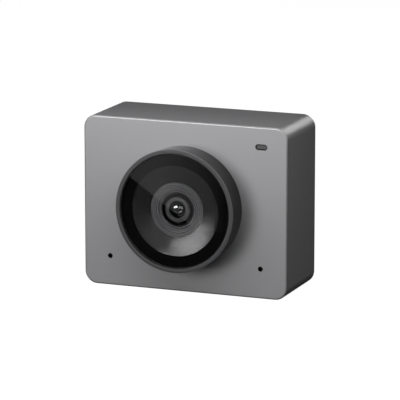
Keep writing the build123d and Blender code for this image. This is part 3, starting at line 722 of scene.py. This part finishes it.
# %% Turn the lens ring
clearance = 0.1 * mm
spigot_radius = 12.4 * mm
ring_draft = 0.3 * mm
ring_softness = 0.1 * mm
hood_flange = 0.7 * mm
glass_low, glass_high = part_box("cover_glass")
glass_radius = radii("cover_glass")[1]
hood_low, hood_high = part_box("lens_hood")
ring_bore, ring_outer = radii("lens_ring")
glass_seat = glass_radius + clearance
seat_front = glass_low.y + 0.05 * mm
flange_back = hood_low.y + hood_flange
lens_ring = turned([
    (ring_low.y, glass_seat),
    (ring_low.y, ring_outer),
    (body_front, ring_outer - ring_draft),
    (body_front, spigot_radius),
    (ring_high.y, spigot_radius),
    (ring_high.y, ring_bore),
    (flange_back, ring_bore),
    (flange_back, glass_seat),
    (seat_front, glass_seat),
])
soften(lens_ring, ring_softness)
print("ring radii in mm:", round(ring_bore / mm, 2), round(ring_outer / mm, 2))


# %% Mark the ring's finishes
def from_axis(point):
    """A point's distance from the lens axis."""
    return (point.x**2 + (point.z - lens_height) ** 2) ** 0.5


def on_rim(middle, normal):
    """The flat rim and the nearest part of its bevels."""
    return middle.y < ring_low.y + 0.5 * ring_softness


def on_outer_edge(middle, normal):
    """The slanting part of the rim's outer bevel."""
    in_bevel = middle.y < ring_low.y + 0.9 * ring_softness and -0.95 < normal.y < -0.2
    return in_bevel and from_axis(middle) > ring_outer - 1.1 * ring_softness


def on_inner_wall(middle, normal):
    """The wall round the glass."""
    return middle.y > seat_front and from_axis(middle) < glass_seat + 0.2 * ring_softness


mark(lens_ring, on_rim)
# The outer bevel gets the painted highlight.
mark(lens_ring, on_outer_edge, 2)
mark(lens_ring, on_inner_wall)
ring_finishes = [ring_black, ring_rim, ring_edge_highlight]
piece("lens_ring_turned", lens_ring, ring_finishes, ["lens_ring"])

# %% [markdown]
# ## Clear glass
# Glass is the Principled shader with full transmission, and soft noise gives it the faint smears of
# a wiped surface. Lamps have to reach the hood behind it, and Cycles lets them through only by
# chance, which gives grain. So for shadow rays the glass gives way to a Transparent shader. Leaving
# the glass out would be smoother still, but it would mirror nothing.

# %% Make the glass tool
def clear_glass(name, tint, index, haze):
    """Clear glass that lets lamps light what is behind it."""
    finish, nodes, links = new_finish(name)
    colour = (*tint, 1)
    shader = tuned(nodes["Principled BSDF"], {
        "Base Color": colour, "Transmission Weight": 1.0, "IOR": index,
    })
    polish = tuned(nodes.new("ShaderNodeMapRange"), {
        "From Min": 0.45, "From Max": 0.8, "To Min": 0.0, "To Max": haze,
    })
    links.new(speckle(nodes, links, 0.35 / mm, detail=5), polish.inputs["Value"])
    links.new(polish.outputs["Result"], shader.inputs["Roughness"])
    open_glass = tuned(nodes.new("ShaderNodeBsdfTransparent"), {"Color": colour})
    path = nodes.new("ShaderNodeLightPath")
    choice = nodes.new("ShaderNodeMixShader")
    links.new(path.outputs["Is Shadow Ray"], choice.inputs["Fac"])
    links.new(shader.outputs["BSDF"], choice.inputs[1])
    links.new(open_glass.outputs["BSDF"], choice.inputs[2])
    links.new(choice.outputs[0], nodes["Material Output"].inputs["Surface"])
    return finish


glass_finish = clear_glass("coated_cover_glass", (0.99, 0.987, 0.995), 1.5, 0.002)

# %% [markdown]
# ## The cover glass
# The cover glass is a flat disc with polished faces and a ground edge. A clear edge would be
# simpler, but it would catch the panels' light as bright specks, so the edge is dull and dark.

# %% Turn the cover glass
glass_bevel = 0.05 * mm
ground_width = 0.06 * mm
ground_edge = surface(
    "ground_glass_edge", (0.04, 0.04, 0.041), 0.6, drift=0.15, specular=0.1
)
cover_glass = turned([
    (glass_low.y, 0),
    (glass_low.y, glass_radius),
    (glass_high.y, glass_radius),
    (glass_high.y, 0),
], closed=False)
soften(cover_glass, glass_bevel, 2)
mark(cover_glass, lambda middle, normal: from_axis(middle) > glass_radius - ground_width)
glass_finishes = [glass_finish, ground_edge]
piece("cover_glass_disc", cover_glass, glass_finishes, ["cover_glass"])

# %% [markdown]
# ## The hood
# Under the glass lies a dished black hood. Stray light has to die in it, so its inner part is cut
# into sharp rings that step down to the throat, where the lens stands. Displacement could raise
# them, but only a drawn section keeps their crests sharp. A loop draws them: each crest is a little
# nearer the axis and deeper than the last, and the slope behind it faces inwards. Behind the lip
# the throat widens by a slope, because the softened edges of so low a step would meet.

# %% Turn the ridged hood
mask_radius = radii("glass_adhesive_ring")[0]
throat_radius = radii("lens_hood")[0]
throat_lip = throat_radius - 0.06 * mm
lip_length = 0.25 * mm
lip_slope = 0.14 * mm
cone_fall = 1.07 * mm
ridge_radius = 6.15 * mm
ridge_count = 5
ridge_height = 0.2 * mm
ridge_fall = 0.36 * mm
valley_share = 0.7
hood_softness = 0.05 * mm
ridge_pitch = (ridge_radius - throat_lip) / ridge_count
ridge_front = hood_low.y + cone_fall
lip_front = ridge_front + ridge_fall
hood_outline = [
    (flange_back, glass_radius),
    (hood_low.y, glass_radius),
    (hood_low.y, mask_radius),
]
for ridge in range(ridge_count):
    crest_radius = ridge_radius - ridge * ridge_pitch
    crest_depth = ridge_front + ridge_fall * ridge / ridge_count
    valley_radius = crest_radius - ridge_pitch * valley_share
    hood_outline.append((crest_depth, crest_radius))
    hood_outline.append((crest_depth + ridge_height, valley_radius))
hood_outline += [
    (lip_front, throat_lip),
    (lip_front + lip_length, throat_lip),
    (lip_front + lip_length + lip_slope, throat_radius),
    (hood_high.y, throat_radius),
    (hood_high.y, ring_bore - clearance),
    (flange_back, ring_bore - clearance),
]
lens_hood = turned(hood_outline)
soften(lens_hood, hood_softness, 4)
print("ridges:", ridge_count, "pitch in mm:", round(ridge_pitch / mm, 3))

# %% [markdown]
# ## The hood's finishes
# The hood is moulded in satin black. Its ridges are painted greyer as sheen, the throat's edge is
# painted paler still as a highlight, and its bore is a dull black of painted shade, so it looks
# empty.
# One finish with a pattern could do this, but four finishes on marked faces keep each edge crisp.

# %% Finish the hood
hood_black = surface(
    "satin_black_hood", (0.0035, 0.0035, 0.0036), 0.26, grain=7.0, drift=0.05, specular=0.24
)
# Painted sheen: the ridges are made greyer than the hood, to carry their lit look.
ridge_painted_sheen = surface(
    "grey_ridges_painted_sheen", (0.03, 0.03, 0.0308), 0.34, grain=7.0, drift=0.05, specular=0.35
)
# Painted shade: the throat and the barrel's back are made near black, so they read as dark.
throat_painted_shade = surface(
    "dull_black_throat", (0.001, 0.001, 0.001), 0.7, grain=7.0, drift=0.1, specular=0.0
)
# Painted highlight: the lip's edge is made paler, for its thin bright line.
throat_edge_highlight = surface("painted_highlight_throat_edge", (0.05, 0.05, 0.051), 0.35, grain=7.0, drift=0.05)


def on_ridges(middle, normal):
    """Everything inside the outermost crest."""
    return from_axis(middle) < ridge_radius + 0.02 * mm


def on_throat(middle, normal):
    """Everything behind the lip's front."""
    return middle.y > lip_front + 0.03 * mm


def on_throat_edge(middle, normal):
    """The softened front edge of the lip."""
    reach = 0.98 * hood_softness
    return abs(middle.y - lip_front) < reach and from_axis(middle) < throat_lip + reach


mark(lens_hood, on_ridges)
mark(lens_hood, on_throat, 2)
mark(lens_hood, on_throat_edge, 3)
hood_finishes = [hood_black, ridge_painted_sheen, throat_painted_shade, throat_edge_highlight]
piece("lens_hood_ridged", lens_hood, hood_finishes, ["lens_hood"])

# %% [markdown]
# ## The lens barrel
# The barrel is a narrow nose with a fine grey face, dark sides and a chamfered mouth. Its wide part
# lies deep in the throat and takes its painted shade, a dull black. A plain tube would lack the
# chamfer and the lip that the eye finds there, so the barrel is turned too. It rides on the focus
# unit.

# %% Turn the barrel
nose_radius = 2.82 * mm
nose_length = 0.9 * mm
nose_softness = 0.06 * mm
mouth_chamfer = 0.15 * mm
lip_thickness = 0.3 * mm
lens_bore = 2.45 * mm
face_depth = 0.2 * mm
shoulder_margin = 0.08 * mm
barrel_low, barrel_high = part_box("lens_barrel")
clear_radius, barrel_radius = radii("lens_barrel")
nose_opening = clear_radius - 0.14 * mm
shoulder = barrel_low.y + nose_length
barrel = turned([
    (barrel_low.y, nose_opening + mouth_chamfer),
    (barrel_low.y, nose_radius),
    (shoulder, nose_radius),
    (shoulder, barrel_radius),
    (barrel_high.y, barrel_radius),
    (barrel_high.y, lens_bore),
    (barrel_low.y + lip_thickness, lens_bore),
    (barrel_low.y + lip_thickness, nose_opening),
])
soften(barrel, nose_softness)
mark(barrel, lambda middle, normal: middle.y > barrel_low.y + face_depth)
# The barrel's wide part takes the throat's painted shade.
mark(barrel, lambda middle, normal: middle.y > shoulder - shoulder_margin, 2)
barrel_grey = surface(
    "fine_grey_nose", (0.0195, 0.0195, 0.02), 0.5, grain=12.0, drift=0.04, specular=0.15
)
barrel_side = surface("dark_nose_side", (0.006, 0.006, 0.006), 0.5, grain=12.0, specular=0.15)
piece(
    "barrel_turned", barrel, [barrel_grey, barrel_side, throat_painted_shade],
    ["lens_barrel"], body="focus_unit",
)

# %% [markdown]
# ## The front lens
# The front lens is a small dome behind the barrel's lip. A cut-off sphere would do, but an arc in
# the outline makes the flat rim behind it part of the same shell. The sphere's radius follows from
# the dome's width and height. Its strong curve and high index mirror the panels as small glints.

# %% Turn the front lens
lens_low, lens_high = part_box("front_lens")
lens_radius = radii("front_lens")[1]
dome_bulge = 0.6 * mm
dome_steps = 12
dome_reach = clear_radius - 0.05 * mm
dome_sphere = (dome_reach**2 + dome_bulge**2) / (2 * dome_bulge)
dome_outline = []
for step in range(dome_steps + 1):
    reach = dome_reach * step / dome_steps
    sink = dome_sphere - (dome_sphere**2 - reach**2) ** 0.5
    dome_outline.append((lens_low.y + sink, reach))
front_lens = turned(dome_outline + [
    (lens_low.y + dome_bulge, lens_radius),
    (lens_high.y, lens_radius),
    (lens_high.y, 0),
], closed=False)
lens_finish = clear_glass("coated_lens_glass", (0.27, 0.29, 0.31), 2.0, 0.01)
piece(
    "front_lens_dome", front_lens, [lens_finish], ["front_lens"],
    body="focus_unit",
)

# %% [markdown]
# ## The indicator
# A thin black bezel, painted shade for the gap round the guide, lines a small slot at the upper
# right, and a light guide of smoked plastic is sunk in it, with a softly crowned face. A dark patch
# would pass from the front only, so both are real pieces: bars with round ends, one of them cut
# open.

# %% Shape the indicator
bezel_half = (1.38 * mm, 0.63 * mm)
opening_half = (1.2 * mm, 0.46 * mm)
guide_half = (1.19 * mm, 0.45 * mm)
bezel_front = body_front + 0.04 * mm
bezel_softness = 0.04 * mm
guide_front = body_front + 0.2 * mm
guide_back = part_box("indicator_window")[1].y
guide_crown = 0.3 * mm
pill_roundness = 0.998


def pill(half_size, front, back):
    """A bar with round ends, standing in the indicator's slot."""
    half_width, half_height = half_size
    return block(
        Vector((window_middle.x - half_width, front, window_middle.z - half_height)),
        Vector((window_middle.x + half_width, back, window_middle.z + half_height)),
        half_height * pill_roundness, segments=16,
    )


bezel = cut(
    pill(bezel_half, bezel_front, body_front + wall),
    pill(opening_half, bezel_front - overshoot, body_front + wall + overshoot),
)
soften(bezel, bezel_softness, 2, lies_at(bezel_front))
# Painted shade: the bezel is made black to stand for the dark gap round the guide.
bezel_painted_shade = surface(
    "black_bezel_painted_gap_shade", (0.004, 0.004, 0.004), 0.6, grain=6.0, drift=0.1, specular=0.1
)
piece("indicator_bezel", bezel, [bezel_painted_shade])

guide = pill(guide_half, guide_front, guide_back)
soften(guide, guide_crown, 6, lies_at(guide_front))
window_finish = surface("smoked_window", (0.04, 0.04, 0.0413), 0.34, grain=6.0, drift=0.12)
piece("indicator_guide", guide, [window_finish], ["indicator_window"])

# %% [markdown]
# ## The rear cover
# The back is closed by a moulded plate inside the shell's rim, with nine vents above the cable
# socket and four sunk screws near its corners. Dark stripes could stand for vents from afar, but
# cut ones show the boards behind them.

# %% Shape the cover plate
cover_thickness = 1.5 * mm
cover_softness = 0.2 * mm
cover_low, cover_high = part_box("rear_cover")
cover = block(
    Vector((cover_low.x, cover_high.y - cover_thickness, cover_low.z)), cover_high,
    corner - wall - clearance,
)
soften(cover, cover_softness, 3, lies_at(cover_high.y))
print("cover in mm:", [round(s / mm, 2) for s in cover_high - cover_low])

# %% Make the tools for vents and socket
vent_count = 9
vent_pitch = 2.3 * mm
vent_half = Vector((0.5 * mm, overshoot + cover_thickness, 3.5 * mm))
vent_corner = 0.45 * mm
vent_height = body_high.z - 10.8 * mm
vents = []
for vent in range(vent_count):
    from_middle = (vent - (vent_count - 1) / 2) * vent_pitch
    spot = Vector((from_middle, cover_high.y, vent_height))
    vents.append(bar(spot, vent_half, vent_corner, segments=8))

mouth_gap = 0.2 * mm
socket_low, socket_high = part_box("usb_shell")
socket_middle = middle_of("usb_shell")
socket_half = (socket_high - socket_low) / 2
mouth_half = Vector((
    socket_half.x + mouth_gap, overshoot + cover_thickness, socket_half.z + mouth_gap
))
roundness = 0.999
mouth_spot = Vector((0, cover_high.y, socket_middle.z))
mouth = bar(mouth_spot, mouth_half, mouth_half.z * roundness)
print("vents:", len(vents))

# %% Cut the cover
head_radius = 1.2 * mm
head_height = 0.6 * mm
head_gap = 0.05 * mm
head_segments = 40
screws_low, screws_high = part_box("rear_cover_screws")
head_seat = screws_high.y - head_height
screw_spots = [
    Vector((x, head_seat, z))
    for x in (screws_low.x + head_radius, screws_high.x - head_radius)
    for z in (screws_low.z + head_radius, screws_high.z - head_radius)
]
sink_length = cover_high.y - head_seat + overshoot
sinks = [
    rod(
        spot + Vector((0, sink_length / 2, 0)), along_depth, head_radius + head_gap,
        sink_length, head_segments,
    )
    for spot in screw_spots
]
cover = cut(cover, *vents, mouth, *sinks)
cover_black = surface(
    "moulded_dark_cover", (0.075, 0.075, 0.078), 0.55, grain=6.0, drift=0.05, bump=0.008,
    specular=0.4,
)
piece("rear_cover_plate", cover, [cover_black], ["rear_cover"])

# %% [markdown]
# ## The cover's screws
# Of each black screw only the head shows, a low cylinder with a softened rim and a six-sided
# recess. The recess could be extruded inwards, but a rod with six segments already has the key's
# shape, so it is one cut.

# %% Shape the screw heads
head_softness = 0.12 * mm
recess_radius = 0.55 * mm
heads = []
for spot in screw_spots:
    head_middle = spot + Vector((0, head_height / 2, 0))
    head_top = spot + Vector((0, head_height, 0))
    head = rod(head_middle, along_depth, head_radius, head_height, head_segments)
    soften(head, head_softness)
    recess = rod(head_top, along_depth, recess_radius, head_height, segments=6)
    heads.append(cut(head, recess))
screw_black = surface(
    "black_plated_steel", (0.05, 0.05, 0.052), 0.32, metal=0.6, grain=10.0, drift=0.05,
    bump=0.002,
)
piece(
    "cover_screw_heads", together(heads), [screw_black],
    ["rear_cover_screws"],
)

# %% [markdown]
# ## The cable socket
# The socket is a drawn steel tube with round ends, about a black tongue with a row of gold contacts
# on each side. A bent sheet would follow how the tube is made, but one block cut out of another
# gives the same wall in a single step. Only the edge at the mouth is softened.

# %% Shape the socket's tube
socket_wall = 0.3 * mm
socket_softness = 0.07 * mm
wall_inset = Vector((socket_wall, 0, socket_wall))
reach_out = Vector((0, overshoot, 0))
tube = cut(
    block(socket_low, socket_high, socket_half.z * roundness),
    block(
        socket_low + wall_inset - reach_out, socket_high - wall_inset + reach_out,
        (socket_half.z - socket_wall) * roundness,
    ),
)
soften(tube, socket_softness, 2, lies_at(socket_high.y))
socket_steel = surface("drawn_steel", (0.62, 0.62, 0.63), 0.3, metal=1.0, drift=0.04)
piece("cable_socket_shell", tube, [socket_steel], ["usb_shell"])

# %% Shape the tongue
blade_half_width = 3.345 * mm
blade_half_height = 0.35 * mm
base_length = 1.2 * mm
tongue_softness = 0.1 * mm
tongue_low, tongue_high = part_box("usb_tongue")
base = block(tongue_low, Vector((tongue_high.x, tongue_low.y + base_length, tongue_high.z)))
blade = block(
    Vector((
        -blade_half_width, tongue_low.y + base_length, socket_middle.z - blade_half_height
    )),
    Vector((blade_half_width, tongue_high.y, socket_middle.z + blade_half_height)),
)
soften(blade, tongue_softness, 2)
tongue_black = surface("socket_black", (0.03, 0.03, 0.03), 0.45)
tongue = together([base, blade])
piece("cable_socket_tongue", tongue, [tongue_black], ["usb_tongue"])

# %% Lay the contacts on the tongue
contact_count = 12
contact_pitch = 0.5 * mm
contact_size = Vector((0.25, 3.2, 0.02)) * mm
contact_set_back = 2.1 * mm
contacts = []
for side in (-1, 1):
    for contact in range(contact_count):
        spot = Vector((
            (contact - (contact_count - 1) / 2) * contact_pitch,
            tongue_high.y - contact_set_back,
            socket_middle.z + side * (blade_half_height + contact_size.z / 2),
        ))
        contacts.append(bar(spot, contact_size / 2))
contact_gold = surface(
    "gold_contacts", (0.83, 0.62, 0.28), 0.25, metal=1.0, grain=10.0, drift=0.04
)
piece("cable_socket_contacts", together(contacts), [contact_gold])

# %% [markdown]
# ## The tripod socket
# The threaded insert stands flush with the bottom, with a small bevel and a flared mouth. The lathe
# here works on the lens axis only, so a rod is bored twice: once straight, and once with a short
# cone for the mouth.

# %% Shape the insert
insert_radius = 3.95 * mm
insert_softness = 0.12 * mm
insert_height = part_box("tripod_insert")[1].z
thread_major = 3.15 * mm
bore_depth = 4.8 * mm
bore_margin = 0.01 * mm
mouth_flare = 0.35 * mm
mouth_taper = 0.15 * mm
mouth_depth = 0.5 * mm
mouth_middle = 0.2 * mm

insert = rod(
    (0, 0, insert_height / 2), along_height, insert_radius, insert_height, bore_segments
)
soften(insert, insert_softness, 3, lambda e: all(v.co.z < same_plane for v in e.verts))
insert_bore = rod(
    (0, 0, bore_depth / 2), along_height, thread_major, bore_depth + bore_margin, bore_segments
)
mouth_cone = bmesh.new()
bmesh.ops.create_cone(
    mouth_cone, cap_ends=True, segments=bore_segments, radius1=thread_major + mouth_flare,
    radius2=thread_major - mouth_taper, depth=mouth_depth,
    matrix=Matrix.Translation((0, 0, mouth_middle)),
)
insert = cut(cut(insert, insert_bore), mouth_cone)
insert_steel = surface(
    "plated_insert", (0.52, 0.51, 0.49), 0.3, metal=1.0, grain=9.0, drift=0.05
)
piece("tripod_socket_shell", insert, [insert_steel], ["tripod_insert"])

# %% [markdown]
# ## The thread
# The thread is what the solid leaves out. A stack of rings would look right at a glance, but a
# thread climbs. So the spin operator carries one tooth's section round and rises by one pitch in
# each turn, and the tooth's root is sunk in the bore's wall.

# %% Cut the thread
thread_minor = 2.6 * mm
thread_root = thread_major + 0.05 * mm
thread_start = 0.1 * mm
thread_pitch = 1.27 * mm
thread_turns = 3
thread_steps = 72
flank = 0.48 * mm
crest = 0.14 * mm
section = [
    (thread_root, 0.0),
    (thread_minor, flank),
    (thread_minor, flank + crest),
    (thread_root, 2 * flank + crest),
]
thread = bmesh.new()
corners = [thread.verts.new((radius, 0, height + thread_start)) for radius, height in section]
sides = [thread.edges.new(pair) for pair in zip(corners, corners[1:] + corners[:1])]
for turn in range(thread_turns):
    swept = bmesh.ops.spin(
        thread, geom=corners + sides, cent=(0, 0, 0), axis=(0, 0, 1),
        dvec=(0, 0, thread_pitch / thread_steps), angle=2 * pi, steps=thread_steps,
        use_merge=False, use_duplicate=False,
    )
    corners = [g for g in swept["geom_last"] if isinstance(g, bmesh.types.BMVert)]
    sides = [g for g in swept["geom_last"] if isinstance(g, bmesh.types.BMEdge)]
bmesh.ops.holes_fill(thread, edges=[e for e in thread.edges if e.is_boundary], sides=4)
piece("tripod_socket_thread", cleaned(thread), [insert_steel])

# %% [markdown]
# ## The pieces inside
# The pieces behind the walls have plain forms, and their solids are right as they are. They keep
# their meshes and only get finishes, one for each slot of the record: boards with green lacquer,
# chips, copper, steel, silicone and foam. Those round the lens are kept dull and near black, partly
# their own black and partly painted shade on the copper and steel, so that nothing glints in the
# dark throat.

# %% Choose the inner finishes
inner_looks = {
    # slot: colour, roughness, metal
    "frame_metal": ((0.55, 0.55, 0.56), 0.4, 1.0),
    "screw_steel": ((0.52, 0.52, 0.54), 0.3, 1.0),
    "magnet_plating": ((0.62, 0.62, 0.63), 0.15, 1.0),
    "coil_copper": ((0.62, 0.3, 0.16), 0.35, 1.0),
    "barrel_plastic": ((0.03, 0.03, 0.032), 0.5, 0.0),
    "sensor_silicon": ((0.07, 0.06, 0.1), 0.08, 0.3),
    "board_laminate": ((0.02, 0.09, 0.05), 0.4, 0.0),
    "chip_plastic": ((0.03, 0.03, 0.032), 0.5, 0.0),
    "component_ceramic": ((0.45, 0.36, 0.26), 0.5, 0.0),
    "inductor_ferrite": ((0.1, 0.1, 0.11), 0.6, 0.0),
    "flex_film": ((0.35, 0.17, 0.04), 0.3, 0.0),
    "connector_plastic": ((0.75, 0.72, 0.62), 0.45, 0.0),
    "gasket_rubber": ((0.03, 0.03, 0.03), 0.7, 0.0),
    "membrane_cloth": ((0.02, 0.02, 0.02), 0.9, 0.0),
    "mic_metal": ((0.66, 0.62, 0.5), 0.3, 1.0),
    "led_plastic": ((0.85, 0.85, 0.8), 0.2, 0.0),
    "spreader_metal": ((0.62, 0.62, 0.63), 0.35, 1.0),
    "silicone": ((0.35, 0.42, 0.5), 0.6, 0.0),
}
# Painted shade, in part: these pieces round the lens are made near black, the copper and steel too,
# so the throat reads dark.
black_and_painted_shade_looks = {
    # slot: colour
    "can_steel": (0.008, 0.008, 0.0085),
    "spring_copper": (0.01, 0.008, 0.006),
    "foam": (0.005, 0.005, 0.005),
    "module_plastic": (0.006, 0.006, 0.0065),
}
inner_finishes = {
    slot: surface(f"{slot}_finish", colour, roughness, metal, grain=6.0, drift=0.12, bump=0.003)
    for slot, (colour, roughness, metal) in inner_looks.items()
}
for slot, colour in black_and_painted_shade_looks.items():
    inner_finishes[slot] = surface(
        f"dull_{slot}", colour, 0.6, grain=6.0, drift=0.12, specular=0.03
    )
inner_finishes["black_adhesive"] = surface(
    "matt_black_bond", (0.0035, 0.0035, 0.0035), 0.6, grain=6.0, drift=0.1, specular=0.02
)
inner_finishes["lens_glass"] = clear_glass("inner_lens_glass", (0.3, 0.32, 0.34), 1.2, 0.01)
inner_finishes["filter_glass"] = clear_glass("filter_glass", (0.45, 0.75, 0.72), 1.5, 0.01)

# %% Finish the inner solids
shown_inside = 0
for subpart in frame["record"]["subparts"]:
    node = frame["nodes"][subpart["node"]]
    if node.hide_render:
        continue
    node.data.materials.clear()
    node.data.materials.append(inner_finishes[subpart["material_slot"]])
    shown_inside += 1
print("solids that keep their shape:", shown_inside)
